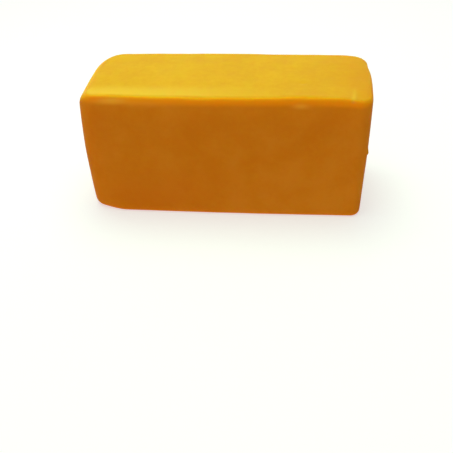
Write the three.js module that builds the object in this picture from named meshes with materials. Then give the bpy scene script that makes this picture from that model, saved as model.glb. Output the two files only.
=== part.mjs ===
// A semi-hard cheese loaf: one block, pressed in a mould, with rounded edges and slightly uneven faces.
// Millimetres, +Z up. X runs along the loaf, -Y is its front, and the origin is the middle of the underside.

import * as THREE from 'three';
import { mergeVertices } from 'three/addons/utils/BufferGeometryUtils.js';

// Driving dimensions of the block before its faces swell
const LENGTH = 281;
const DEPTH = 108;
const HEIGHT = 131.7;

// Radii of the upright corners seen from above, at the underside and at the top
const CORNERS = {
  frontLeft: { low: 10, high: 17.5 },
  frontRight: { low: 9, high: 14.5 },
  backLeft: { low: 30, high: 30 },
  backRight: { low: 14, high: 14 },
};

// How far from the middle, as a share of half a side, one corner's radius has passed into the next one's
const CORNER_BLEND = 0.5;

// Radii of the rims round the top and the underside
const FRONT_TOP_RIM = 3.2;
const BACK_TOP_RIM = 6.2;
const LEFT_TOP_RIM = 15.5;
const RIGHT_TOP_RIM = 6.8;
const BOTTOM_RIM = 4.5;

// How far the middle of each face stands out
const TOP_SWELL = 1.4;
const LEFT_END_SWELL = 2;
const RIGHT_END_SWELL = 4;
const LONG_SIDE_SWELL = 1.8;

// How far the left end and the long sides belly out at mid height
const LEFT_END_BELLY = 1.7;
const LONG_SIDE_BELLY = 0.6;

// How fast a swelling fades inwards from its face, and the wave from its edge
const FACE_FADE = 3;
const EDGE_FADE = 4;

// The top droops towards the right end, from this share of half the length
const RIGHT_DROOP = 1.6;
const RIGHT_DROOP_START = 0.79;

// How far the ends are off square, in degrees, seen from above and from the front
const LEFT_TURN = -0.8;
const RIGHT_TURN = 1.87;
const LEFT_LEAN = 0.35;
const RIGHT_LEAN = 0.9;

// Low at its left end the front bends back and the underside turns up, from this share of half the length
const LOW_LEFT_BEND = 8.8;
const LOW_LEFT_LIFT = 2.5;
const LOW_LEFT_START = 0.76;
const LOW_LEFT_GROWTH = 1.4;

// The front top edge dips on its left and lifts on its right
const EDGE_WAVE = 0.75;
const EDGE_WAVE_LENGTH = 300;
const EDGE_WAVE_START = 40;

// Mesh: cells along each side, and how strongly they crowd towards the edges
const CELLS = { x: 46, y: 20, z: 24 };
const CROWDING = 1.7;

const HALF_LENGTH = LENGTH / 2;
const HALF_DEPTH = DEPTH / 2;
const HALF_HEIGHT = HEIGHT / 2;

const { clamp, lerp, smoothstep, degToRad } = THREE.MathUtils;

// Moves a coordinate from -1 to 1 towards its nearer end, so that the rounded edges get the small cells
function crowd(t) {
  return Math.sign(t) * (1 - (1 - Math.abs(t)) ** CROWDING);
}

// Radius of the upright corner nearest to a point of the block, blended along the sides
function cornerRadius(u, v, w) {
  const toRight = smoothstep(u, -CORNER_BLEND, CORNER_BLEND);
  const toBack = smoothstep(v, -CORNER_BLEND, CORNER_BLEND);
  const toTop = (w + 1) / 2;
  const at = (corner) => lerp(corner.low, corner.high, toTop);
  const front = lerp(at(CORNERS.frontLeft), at(CORNERS.frontRight), toRight);
  const back = lerp(at(CORNERS.backLeft), at(CORNERS.backRight), toRight);
  return lerp(front, back, toBack);
}

// Rounds the upright corners: gives the point seen from above, the way out and the distance in from the side
function roundCorner(x, y, radius) {
  const coreX = clamp(x, radius - HALF_LENGTH, HALF_LENGTH - radius);
  const coreY = clamp(y, radius - HALF_DEPTH, HALF_DEPTH - radius);
  const out = new THREE.Vector2(x - coreX, y - coreY);
  const reach = Math.max(Math.abs(out.x), Math.abs(out.y));
  out.normalize();
  return { point: new THREE.Vector2(coreX, coreY).addScaledVector(out, reach), out, inset: radius - reach };
}

// Rounds a rim: takes the distance in from the side and down from the face, and gives them on the rim's arc
function roundRim(inset, drop, radius) {
  const core = new THREE.Vector2(Math.max(inset, radius), Math.max(drop, radius));
  const out = new THREE.Vector2(inset, drop).sub(core);
  const reach = Math.max(Math.abs(out.x), Math.abs(out.y));
  return core.addScaledVector(out.normalize(), reach);
}

// A point of the plain block, from -1 to 1 each way, on the block with all its edges rounded
function roundedPoint(u, v, w) {
  const radius = cornerRadius(u, v, w);
  const { point, out, inset } = roundCorner(u * HALF_LENGTH, v * HALF_DEPTH, radius);
  const onEnd = out.x ** 2;
  const longRim = v < 0 ? FRONT_TOP_RIM : BACK_TOP_RIM;
  const endRim = u < 0 ? LEFT_TOP_RIM : RIGHT_TOP_RIM;
  const rim = w > 0 ? lerp(longRim, endRim, onEnd) : BOTTOM_RIM;
  const drop = HALF_HEIGHT * (1 - Math.abs(w));
  const arc = roundRim(inset, drop, Math.min(rim, radius));
  point.addScaledVector(out, inset - arc.x);
  return new THREE.Vector3(point.x, point.y, Math.sign(w) * (HALF_HEIGHT - arc.y));
}

// Swells the faces, droops the top, bends the low left corner, skews the ends and waves the front top edge
function unevenPoint(p) {
  const a = p.x / HALF_LENGTH;
  const b = p.y / HALF_DEPTH;
  const c = p.z / HALF_HEIGHT;
  const along = 1 - a ** 2;
  const across = 1 - b ** 2;
  const midHeight = 1 - c ** 2;
  const right = Math.max(a, 0);
  const left = Math.max(-a, 0);
  const up = Math.max(c, 0);
  const down = Math.max(-c, 0);
  const front = Math.max(-b, 0);

  const endSwell = right ** FACE_FADE * RIGHT_END_SWELL - left ** FACE_FADE * LEFT_END_SWELL;
  const droop = RIGHT_DROOP * smoothstep(a, RIGHT_DROOP_START, 1);
  p.x += endSwell * across * (1 + midHeight) / 2;
  p.x -= left ** FACE_FADE * LEFT_END_BELLY * midHeight;
  p.y += b ** FACE_FADE * along * (LONG_SIDE_SWELL + LONG_SIDE_BELLY * midHeight);
  p.z += up ** FACE_FADE * (TOP_SWELL * along * (1 + across) / 2 - droop);

  const atCorner = (Math.max(left - LOW_LEFT_START, 0) / (1 - LOW_LEFT_START)) ** LOW_LEFT_GROWTH;
  p.y += LOW_LEFT_BEND * atCorner * front * ((1 - c) / 2) ** 2;
  p.z += LOW_LEFT_LIFT * atCorner * down ** FACE_FADE;

  const turn = right * Math.tan(degToRad(RIGHT_TURN)) + left * Math.tan(degToRad(LEFT_TURN));
  const lean = right * Math.tan(degToRad(RIGHT_LEAN)) + left * Math.tan(degToRad(LEFT_LEAN));
  p.x += turn * p.y + lean * p.z;

  const nearEdge = (front * up) ** EDGE_FADE;
  p.z += EDGE_WAVE * nearEdge * Math.sin((2 * Math.PI * (p.x - EDGE_WAVE_START)) / EDGE_WAVE_LENGTH);
  return p;
}

// The loaf: the surface of a box of small cells, moved point by point onto the rounded, uneven form
function loafGeometry() {
  const box = new THREE.BoxGeometry(2, 2, 2, CELLS.x, CELLS.y, CELLS.z);
  box.deleteAttribute('normal');
  box.deleteAttribute('uv');
  const geometry = mergeVertices(box);
  const position = geometry.getAttribute('position');
  for (let i = 0; i < position.count; i += 1) {
    const u = crowd(position.getX(i));
    const v = crowd(position.getY(i));
    const w = crowd(position.getZ(i));
    const p = unevenPoint(roundedPoint(u, v, w));
    position.setXYZ(i, p.x, p.y, p.z);
  }
  geometry.computeBoundingBox();
  const { min, max } = geometry.boundingBox;
  geometry.translate(-(min.x + max.x) / 2, -(min.y + max.y) / 2, -min.z);
  geometry.computeVertexNormals();
  return geometry;
}

const cheese = new THREE.MeshStandardMaterial({ color: 0xe0a11c, roughness: 0.5, metalness: 0 });

const loaf = new THREE.Mesh(loafGeometry(), cheese);
loaf.name = 'cheese_loaf';

const model = new THREE.Group();
model.add(loaf);

export default model;
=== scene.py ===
"""A semi-hard cheese loaf on a plain pale floor, in soft studio light, seen a little from above."""

from math import exp, radians

import bmesh
import bpy
from mathutils import Euler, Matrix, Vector, noise
from mathutils.geometry import intersect_point_line


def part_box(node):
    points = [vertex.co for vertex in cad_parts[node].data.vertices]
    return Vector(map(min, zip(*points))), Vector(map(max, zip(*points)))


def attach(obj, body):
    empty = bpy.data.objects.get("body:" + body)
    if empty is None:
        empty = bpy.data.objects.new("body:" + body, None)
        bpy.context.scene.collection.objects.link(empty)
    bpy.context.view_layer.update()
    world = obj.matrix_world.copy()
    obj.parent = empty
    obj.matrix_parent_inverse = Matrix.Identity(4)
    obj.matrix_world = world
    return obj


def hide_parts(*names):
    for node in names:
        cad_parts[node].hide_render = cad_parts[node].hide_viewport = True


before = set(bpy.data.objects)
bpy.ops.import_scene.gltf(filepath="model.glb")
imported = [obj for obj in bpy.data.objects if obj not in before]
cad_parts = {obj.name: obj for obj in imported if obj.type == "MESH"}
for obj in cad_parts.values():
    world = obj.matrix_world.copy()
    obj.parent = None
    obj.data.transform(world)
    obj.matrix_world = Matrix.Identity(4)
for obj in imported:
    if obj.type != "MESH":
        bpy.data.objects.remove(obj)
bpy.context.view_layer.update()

LOAF_LOW, LOAF_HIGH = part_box("cheese_loaf")
LOAF_MIDDLE = (LOAF_LOW + LOAF_HIGH) / 2

# Everything below is in metres and degrees, unless its name or its heading says otherwise

# The photograph's frame and the lens that gives its view
IMAGE_PX = 453
FOCAL_PX = 644.5
SENSOR_MM = 36.0

# Where the camera stands and how it is turned, from the middle of the loaf
CAMERA_TURN = 6.295
CAMERA_DOWN = 36.524
CAMERA_ROLL = -1.997
CAMERA_RIGHT = -0.0018
CAMERA_UP = -0.0992
CAMERA_BACK = 0.6787

# Points of the frame's loaf that are nearer than this are one point
SAME_POINT = 1e-6

# Two triangles become one four-sided face if it is no more bent and no more askew than this
JOIN_BEND = 40
JOIN_SKEW = 60

# How often each face of the frame's loaf is divided
SUBDIVISIONS = 2

# How often the divided loaf is drawn back onto the frame's own points, as dividing pulls it inwards
DRAWN_BACK = 2

# Unevenness of the faces: length and height of the slow swells and of the short ripples
SWELL_LENGTH = 0.055
SWELL_HEIGHT = 0.0004
RIPPLE_LENGTH = 0.016
RIPPLE_HEIGHT = 0.00012

# Wobble of the rounded edges, and the turn away from a face, 0 on it, over which the wobble sets in
WOBBLE_LENGTH = 0.028
WOBBLE_HEIGHT = 0.0005
EDGE_TURN = (0.01, 0.2)

# The relief fades out towards the flat underside over this height
FLAT_HEIGHT = 0.004

# Crease across the top near the right end
CREASE_START = Vector((0.1272, -0.006, LOAF_HIGH.z))
CREASE_END = Vector((0.1210, -0.055, LOAF_HIGH.z))
CREASE_WIDTH = 0.0018
CREASE_HEIGHT = 0.0006

# Shares of the crease's length where it rises and where it ends, and depths where it fades down the front
CREASE_RISE = (0.3, 1.0)
CREASE_FALL = (1.0, 1.15)
CREASE_DOWN = (0.003, 0.006)

# Scuffs under the top edge, on the front, the back and the ends: strength, place and reach of each
SCUFFS = [
    (0.8, Vector((0.0735, LOAF_LOW.y, 0.1235)), Vector((0.0070, 0.006, 0.0024))),
    (1.0, Vector((-0.1045, LOAF_LOW.y + 0.002, 0.1264)), Vector((0.0160, 0.006, 0.0034))),
    (0.3, Vector((-0.085, LOAF_LOW.y, 0.1250)), Vector((0.045, 0.006, 0.0040))),
    (0.8, Vector((-0.047, LOAF_HIGH.y, 0.1232)), Vector((0.0080, 0.006, 0.0026))),
    (0.7, Vector((0.078, LOAF_HIGH.y, 0.1250)), Vector((0.0190, 0.006, 0.0034))),
    (0.7, Vector((LOAF_LOW.x, 0.010, 0.1165)), Vector((0.008, 0.0120, 0.0030))),
    (0.8, Vector((LOAF_HIGH.x, -0.014, 0.1215)), Vector((0.006, 0.0090, 0.0025))),
]
SCUFF_DEPTH = 0.0006

# Lift of the whole front top edge, and its rises and dips: how far along it, over what length and how high
EDGE_LIFT = 0.0003
EDGE_RISES = [(-0.102, 0.018, 0.0008), (0.073, 0.020, 0.0010), (0.131, 0.013, -0.0020)]

# How far behind the front and how far below the top this lift fades out
EDGE_BACK = 0.020
EDGE_DOWN = (0.003, 0.030)

# Nib of torn cheese on the front right corner
NIB_PLACE = Vector((0.1397, -0.0445, 0.0713))
NIB_REACH = Vector((0.004, 0.003, 0.0020))
NIB_HEIGHT = 0.0016

# Dent in the top edge of the right end
DENT_PLACE = Vector((0.1425, 0.034, 0.1265))
DENT_REACH = Vector((0.009, 0.015, 0.009))
DENT_DEPTH = 0.0016

# Pits in the top, the back and the ends: place and reach of each
PITS = [
    (Vector((0.0754, -0.0219, LOAF_HIGH.z)), Vector((0.0028, 0.0028, 0.004))),
    (Vector((-0.0620, LOAF_HIGH.y, 0.0710)), Vector((0.0030, 0.004, 0.0026))),
    (Vector((0.0390, LOAF_HIGH.y, 0.0370)), Vector((0.0026, 0.004, 0.0030))),
    (Vector((LOAF_LOW.x, 0.0140, 0.0620)), Vector((0.004, 0.0028, 0.0028))),
    (Vector((LOAF_HIGH.x, 0.0170, 0.0840)), Vector((0.004, 0.0030, 0.0026))),
]
PIT_DEPTH = 0.0009

# How far a surface faces up, from 0 to 1, where the painted highlight band and the painted shade at the
# right end set in and the painted glow stops
BAND_FACING = (0.8, 0.97)
DEEP_FACING = (0.2, 0.7)
PAINTED_GLOW_FACING = (0.75, 0.99)

# Painted highlight: a pale band on the top along the left of its front edge, where the light catches it,
# and how pale it and the lit crease are
BAND_FRONT = (0.002, 0.006)
BAND_BACK = (0.011, 0.030)
BAND_FADE = (-0.055, 0.065)
BAND_SHARE = 0.9
CREASE_SHARE = 0.9

# Painted bounce light: a pale rim round the underside
RIM_FADE = (0.0012, 0.0050)
RIM_SHARE = 0.35

# Painted shade, a deeper orange: the right end of the top where it turns away from the light, and patches
# of painted shade and warm bounce light on the left of the front and at the right rim
DEEP_END = (0.090, 0.142)
DEEP_END_SHARE = 0.6
DEEP_PATCHES = [
    (Vector((-0.075, LOAF_LOW.y, 0.022)), Vector((0.075, 0.030, 0.028))),
    (Vector((-0.134, LOAF_LOW.y, 0.100)), Vector((0.022, 0.030, 0.040))),
    (Vector((0.1425, -0.035, 0.1285)), Vector((0.006, 0.022, 0.008))),
]
DEEP_PATCH_SHARE = 0.4

# Painted glow: a brighter strip under the top edge and its weak tail, where light sinking in through the
# edge is painted on: depths where they start to fade and where they end
STRIP_FADE = (0.005, 0.0118)
TAIL_FADE = (0.008, 0.036)
TAIL_SHARE = 0.13

# Cheese colours, linear
CHEESE_DEEP = (0.695, 0.434, 0.0060)
CHEESE_MAIN = (0.717, 0.474, 0.0085)
CHEESE_LIGHT = (0.737, 0.510, 0.0126)
# Painted highlight and painted bounce light, pale
CHEESE_PAINTED_HIGHLIGHT = (0.785, 0.612, 0.0360)
# Painted glow under the top edge, standing in for light that sinks in through it
CHEESE_PAINTED_GLOW = (0.945, 0.655, 0.0045)
# Painted shade and painted warm bounce light, a deeper orange
CHEESE_PAINTED_SHADE = (0.698, 0.352, 0.0060)
CHEESE_SCUFFED = (0.985, 0.840, 0.0340)

# Mottling: length and detail of its clouds, patches, curds and grain
CLOUDS = (0.075, 2.0)
PATCHES = (0.020, 3.0)
CURDS = (0.0055, 2.0)
GRAIN = (0.0016, 3.0)

# Share that each finer mottling has over the coarser ones
PATCH_SHARE = 0.45
CURD_SHARE = 0.25
GRAIN_SHARE = 0.12

# Colours of the mottling from its low to its high places, and the tints that are laid over it in this order
TONES = [(0.41, CHEESE_DEEP), (0.50, CHEESE_MAIN), (0.59, CHEESE_LIGHT)]
TINTS = [
    # painted glow under the top edge
    ("painted_glow", CHEESE_PAINTED_GLOW),
    # painted shade at the right end and in patches
    ("painted_shade", CHEESE_PAINTED_SHADE),
    # painted highlights on the band, the crease and the lower rim
    ("painted_highlight", CHEESE_PAINTED_HIGHLIGHT),
    ("scuffing", CHEESE_SCUFFED),
]

# Surface of the cheese: its fine grain, its shallow dimples, and its roughness from patch to patch
GRAIN_BUMP = {"Strength": 0.25, "Distance": 0.0004}
DIMPLE_BUMP = {"Strength": 0.2, "Distance": 0.0015}
ROUGHNESS = {"To Min": 0.46, "To Max": 0.62}

# Floor: half its width, its colour, and how strongly it glows so that it stays pale
FLOOR_REACH = 6.0
FLOOR_COLOUR = (0.49, 0.64, 0.70, 1.0)
FLOOR_ROUGHNESS = 0.9
FLOOR_GLOW = 0.55
WHITE = (1.0, 1.0, 1.0, 1.0)

# Colour of the light from all round, by the height that it comes from: level is 0, straight above is 1
SKY = [(0.25, (0.89, 0.342, 0.82)), (0.85, (0.50, 0.50, 0.20))]

# How strong the light from all round is from the left (0) to the right (1)
SIDE_LIGHT = [(0.0, 0.72), (0.5, 0.97), (1.0, 0.45)]

# What the camera sees beyond the floor
BACKDROP = (0.90, 0.90, 0.89, 1.0)

# Lamps: name, place, size, and power in watts, all of one colour
LAMPS = [
    ("overhead", Vector((-0.12, 0.20, 1.30)), 0.9, 10.2),
    ("sheen", Vector((-0.10, 1.50, 1.00)), 1.0, 0.2),
]
LAMP_COLOUR = (1.0, 1.0, 0.70)


def smooth(x, low, high):
    """0 below low, 1 above high, and a smooth step between."""
    t = min(max((x - low) / (high - low), 0.0), 1.0)
    return t * t * (3 - 2 * t)


def fade(x, low, high):
    """1 below low, 0 above high, and a smooth step between."""
    return 1 - smooth(x, low, high)


def mound(place, centre, reach):
    """1 at the centre, fading out over the reach along each axis."""
    steps = [(place[i] - centre[i]) / reach[i] for i in range(3)]
    return exp(-sum(step * step for step in steps))


def crease(place):
    """1 on the crease, fading out to both sides, towards its ends and down the front."""
    nearest, share = intersect_point_line(place, CREASE_START, CREASE_END)
    across = (place - nearest).to_2d().length / CREASE_WIDTH
    ends = smooth(share, *CREASE_RISE) * fade(share, *CREASE_FALL)
    return exp(-across * across) * ends * fade(LOAF_HIGH.z - place.z, *CREASE_DOWN)


def scuffing(place):
    """How far the cheese is scuffed at a place, from 0 to 1."""
    return max(strength * mound(place, centre, reach) for strength, centre, reach in SCUFFS)


def relief(place, normal):
    """Height of the relief at a place on the loaf."""
    swell = SWELL_HEIGHT * noise.noise(place / SWELL_LENGTH)
    ripple = RIPPLE_HEIGHT * noise.noise(place / RIPPLE_LENGTH)
    on_edge = smooth(1 - max(abs(part) for part in normal), *EDGE_TURN)
    wobble = WOBBLE_HEIGHT * on_edge * noise.noise(place / WOBBLE_LENGTH)
    marks = CREASE_HEIGHT * crease(place)
    marks -= SCUFF_DEPTH * scuffing(place)
    marks -= DENT_DEPTH * mound(place, DENT_PLACE, DENT_REACH)
    marks -= PIT_DEPTH * max(mound(place, centre, reach) for centre, reach in PITS)
    marks += NIB_HEIGHT * mound(place, NIB_PLACE, NIB_REACH)
    return (swell + ripple + wobble + marks) * smooth(place.z, 0.0, FLAT_HEIGHT)


def edge_lift(place):
    """How far a place is lifted or lowered with the front top edge."""
    rises = sum(height * exp(-((place.x - x) / length) ** 2) for x, length, height in EDGE_RISES)
    behind = (place.y - LOAF_LOW.y) / EDGE_BACK
    return (EDGE_LIFT + rises) * exp(-behind * behind) * fade(LOAF_HIGH.z - place.z, *EDGE_DOWN)


def painted_highlight(place, normal):
    """How far the painted highlights show at a place, on the lit band, the lit crease and the rim lit from
    below, from 0 to 1.
    """
    behind_edge = place.y - LOAF_LOW.y
    band = smooth(behind_edge, *BAND_FRONT) * fade(behind_edge, *BAND_BACK)
    band *= fade(place.x, *BAND_FADE) * smooth(normal.z, *BAND_FACING)
    rim = fade(place.z, *RIM_FADE)
    return min(BAND_SHARE * band + CREASE_SHARE * crease(place) + RIM_SHARE * rim, 1.0)


def painted_shade(place, normal):
    """How far the painted shade, a deeper orange, shows at a place, from 0 to 1."""
    end = smooth(place.x, *DEEP_END) * smooth(normal.z, *DEEP_FACING)
    patch = max(mound(place, centre, reach) for centre, reach in DEEP_PATCHES)
    return min(DEEP_END_SHARE * end + DEEP_PATCH_SHARE * patch, 1.0)


def painted_glow(place, normal):
    """How far the painted glow shows at a place, standing in for light that sinks in through the top edge,
    from 0 to 1.
    """
    below_top = LOAF_HIGH.z - place.z
    strip = (1 - TAIL_SHARE) * fade(below_top, *STRIP_FADE)
    tail = TAIL_SHARE * fade(below_top, *TAIL_FADE)
    return (strip + tail) * fade(normal.z, *PAINTED_GLOW_FACING)


def coarse_loaf():
    """The frame's own loaf as a mesh of four-sided faces."""
    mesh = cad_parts["cheese_loaf"].data.copy()
    form = bmesh.new()
    form.from_mesh(mesh)
    bmesh.ops.remove_doubles(form, verts=form.verts, dist=SAME_POINT)
    bmesh.ops.join_triangles(
        form,
        faces=form.faces,
        angle_face_threshold=radians(JOIN_BEND),
        angle_shape_threshold=radians(JOIN_SKEW),
    )
    form.to_mesh(mesh)
    form.free()
    mesh.materials.clear()
    return mesh


def divided(loaf):
    """The mesh of a loaf with its faces divided. The points of the coarse mesh come first in it."""
    finer = loaf.modifiers.new("finer", "SUBSURF")
    finer.levels = SUBDIVISIONS
    shown = loaf.evaluated_get(bpy.context.evaluated_depsgraph_get())
    mesh = bpy.data.meshes.new_from_object(shown)
    loaf.modifiers.clear()
    return mesh


def divided_in_place(loaf):
    """The mesh of a loaf with its faces divided, which still passes through the coarse mesh's points."""
    true_places = [v.co.copy() for v in loaf.data.vertices]
    for _ in range(DRAWN_BACK):
        pulled_in = divided(loaf)
        for vertex, fine, place in zip(loaf.data.vertices, pulled_in.vertices, true_places):
            vertex.co += place - fine.co
        bpy.data.meshes.remove(pulled_in)
    return divided(loaf)


def write_shades(mesh, spots):
    """Writes to each point of a mesh how far each of the tints shows there."""
    shades = {
        # painted glow under the top edge
        "painted_glow": [painted_glow(place, normal) for place, normal in spots],
        # painted shade at the right end and in patches
        "painted_shade": [painted_shade(place, normal) for place, normal in spots],
        # painted highlights on the band, the crease and the lower rim
        "painted_highlight": [painted_highlight(place, normal) for place, normal in spots],
        "scuffing": [scuffing(place) for place, _ in spots],
    }
    for name, values in shades.items():
        shade = mesh.attributes.new(name, "FLOAT", "POINT")
        shade.data.foreach_set("value", values)


def fine_loaf():
    """The loaf finely divided, with its relief and the shades that its tints follow."""
    loaf = bpy.data.objects.new("loaf", coarse_loaf())
    bpy.context.collection.objects.link(loaf)
    mesh = divided_in_place(loaf)
    loaf.data = mesh

    spots = [(v.co.copy(), v.normal.copy()) for v in mesh.vertices]
    write_shades(mesh, spots)
    for vertex, (place, normal) in zip(mesh.vertices, spots):
        vertex.co = place + normal * relief(place, normal)
        vertex.co.z = max(vertex.co.z + edge_lift(place), LOAF_LOW.z)
    mesh.polygons.foreach_set("use_smooth", [True] * len(mesh.polygons))
    mesh.update()
    return loaf


class Nodes:
    """Adds nodes to one node tree. An input given as a socket is linked, and any other value is set."""

    def __init__(self, tree):
        self.tree = tree

    def add(self, kind, inputs, **settings):
        """A new node with its settings and inputs."""
        node = self.tree.nodes.new(kind)
        for name, value in settings.items():
            setattr(node, name, value)
        self.feed(node, inputs)
        return node

    def feed(self, node, inputs):
        """Links or sets inputs of a node."""
        for name, value in inputs.items():
            if isinstance(value, bpy.types.NodeSocket):
                self.tree.links.new(value, node.inputs[name])
            else:
                node.inputs[name].default_value = value

    def ramp(self, factor, stops):
        """A colour that passes from stop to stop as the factor grows."""
        node = self.add("ShaderNodeValToRGB", {"Fac": factor})
        elements = node.color_ramp.elements
        while len(elements) < len(stops):
            elements.new(1.0)
        for element, (position, colour) in zip(elements, stops):
            element.position = position
            element.color = (*colour, 1.0)
        return node.outputs["Color"]

    def cloud(self, where, length, detail):
        """Soft noise whose patches are about as long as given."""
        inputs = {"Vector": where, "Scale": 1 / length, "Detail": detail}
        return self.add("ShaderNodeTexNoise", inputs).outputs["Fac"]

    def tinted(self, colour, shade, tint):
        """A colour that turns into a tint where the mesh has a shade."""
        share = self.add("ShaderNodeAttribute", {}, attribute_name=shade).outputs["Fac"]
        node = self.add("ShaderNodeMixRGB", {"Fac": share, "Color1": colour, "Color2": (*tint, 1.0)})
        return node.outputs["Color"]

    def mixed(self, share, first, second):
        """A value between two others, with the second one's share given."""
        node = self.add("ShaderNodeMix", {"Factor": share, "A": first, "B": second})
        return node.outputs["Result"]


def cheese_material():
    """Yellow cheese: soft mottling, a satin surface with a fine curd grain, and light that sinks in."""
    material = bpy.data.materials.new("cheese")
    material.use_nodes = True
    nodes = Nodes(material.node_tree)
    shader = material.node_tree.nodes["Principled BSDF"]
    where = nodes.add("ShaderNodeTexCoord", {}).outputs["Object"]

    clouds = nodes.cloud(where, *CLOUDS)
    patches = nodes.cloud(where, *PATCHES)
    curds = nodes.cloud(where, *CURDS)
    grain = nodes.cloud(where, *GRAIN)
    tone = nodes.mixed(PATCH_SHARE, clouds, patches)
    tone = nodes.mixed(CURD_SHARE, tone, curds)
    tone = nodes.mixed(GRAIN_SHARE, tone, grain)
    colour = nodes.ramp(tone, TONES)
    # Lays the painted glow, the painted shade, the painted highlights and the scuffs over the mottling
    for shade, tint in TINTS:
        colour = nodes.tinted(colour, shade, tint)

    skin = nodes.add("ShaderNodeBump", {"Height": grain, **GRAIN_BUMP}).outputs["Normal"]
    dimples = nodes.add("ShaderNodeBump", {"Height": patches, "Normal": skin, **DIMPLE_BUMP})
    roughness = nodes.add("ShaderNodeMapRange", {"Value": patches, **ROUGHNESS})
    nodes.feed(shader, {
        "Base Color": colour,
        "Roughness": roughness.outputs["Result"],
        "Normal": dimples.outputs["Normal"],
        "IOR": 1.45,
        "Specular IOR Level": 0.10,
        "Subsurface Weight": 1.0,
        "Subsurface Radius": (1.0, 0.5, 0.1),
        "Subsurface Scale": 0.0065,
    })
    return material


def floor():
    """A plain pale floor, which shows to the camera but sends no light to the loaf."""
    low, high = -FLOOR_REACH, FLOOR_REACH
    mesh = bpy.data.meshes.new("floor")
    corners = [(low, low, 0), (high, low, 0), (high, high, 0), (low, high, 0)]
    mesh.from_pydata(corners, [], [(0, 1, 2, 3)])
    ground = bpy.data.objects.new("floor", mesh)
    bpy.context.collection.objects.link(ground)
    material = bpy.data.materials.new("floor")
    material.use_nodes = True
    Nodes(material.node_tree).feed(material.node_tree.nodes["Principled BSDF"], {
        "Base Color": FLOOR_COLOUR,
        "Roughness": FLOOR_ROUGHNESS,
        "Emission Color": WHITE,
        "Emission Strength": FLOOR_GLOW,
    })
    mesh.materials.append(material)
    ground.visible_diffuse = False
    ground.visible_glossy = False


def soft_light(name, place, size, power):
    """A square soft light that shines at the loaf."""
    data = bpy.data.lights.new(name, "AREA")
    data.shape = "SQUARE"
    data.size = size
    data.energy = power
    data.color = LAMP_COLOUR
    lamp = bpy.data.objects.new(name, data)
    bpy.context.collection.objects.link(lamp)
    lamp.location = place
    lamp.rotation_euler = (LOAF_MIDDLE - place).to_track_quat("-Z", "Y").to_euler()


def surroundings():
    """Light from all round, pink at the sides and pale yellow above, and a pale backdrop for the camera."""
    world = bpy.data.worlds.new("surroundings")
    world.use_nodes = True
    bpy.context.scene.world = world
    nodes = Nodes(world.node_tree)
    where = nodes.add("ShaderNodeTexCoord", {}).outputs["Generated"]
    axes = nodes.add("ShaderNodeSeparateXYZ", {"Vector": where}).outputs
    colour = nodes.ramp(axes["Z"], SKY)
    rightwards = nodes.add("ShaderNodeMapRange", {"Value": axes["X"], "From Min": -1.0}).outputs["Result"]
    strength = nodes.ramp(rightwards, [(place, (share,) * 3) for place, share in SIDE_LIGHT])
    around = nodes.add("ShaderNodeBackground", {"Color": colour, "Strength": strength})
    pale = nodes.add("ShaderNodeBackground", {"Color": BACKDROP})
    to_camera = nodes.add("ShaderNodeLightPath", {}).outputs["Is Camera Ray"]
    choice = nodes.add("ShaderNodeMixShader", {"Fac": to_camera})
    nodes.tree.links.new(around.outputs["Background"], choice.inputs[1])
    nodes.tree.links.new(pale.outputs["Background"], choice.inputs[2])
    nodes.feed(world.node_tree.nodes["World Output"], {"Surface": choice.outputs["Shader"]})


def camera():
    """The photograph's view."""
    data = bpy.data.cameras.new("camera")
    data.sensor_width = SENSOR_MM
    data.lens = FOCAL_PX / IMAGE_PX * SENSOR_MM
    eye = bpy.data.objects.new("camera", data)
    bpy.context.collection.objects.link(eye)
    turn = Euler((0.0, 0.0, radians(CAMERA_TURN))).to_matrix()
    tip = Euler((radians(90 - CAMERA_DOWN), 0.0, 0.0)).to_matrix()
    roll = Euler((0.0, 0.0, radians(CAMERA_ROLL))).to_matrix()
    facing = turn @ tip @ roll
    eye.rotation_euler = facing.to_euler()
    eye.location = LOAF_MIDDLE + facing @ Vector((CAMERA_RIGHT, CAMERA_UP, CAMERA_BACK))
    bpy.context.scene.camera = eye


camera()
floor()
surroundings()
for lamp in LAMPS:
    soft_light(*lamp)
bpy.context.scene.view_settings.view_transform = "Standard"

loaf = fine_loaf()
loaf.data.materials.append(cheese_material())
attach(loaf, "root")
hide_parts("cheese_loaf")
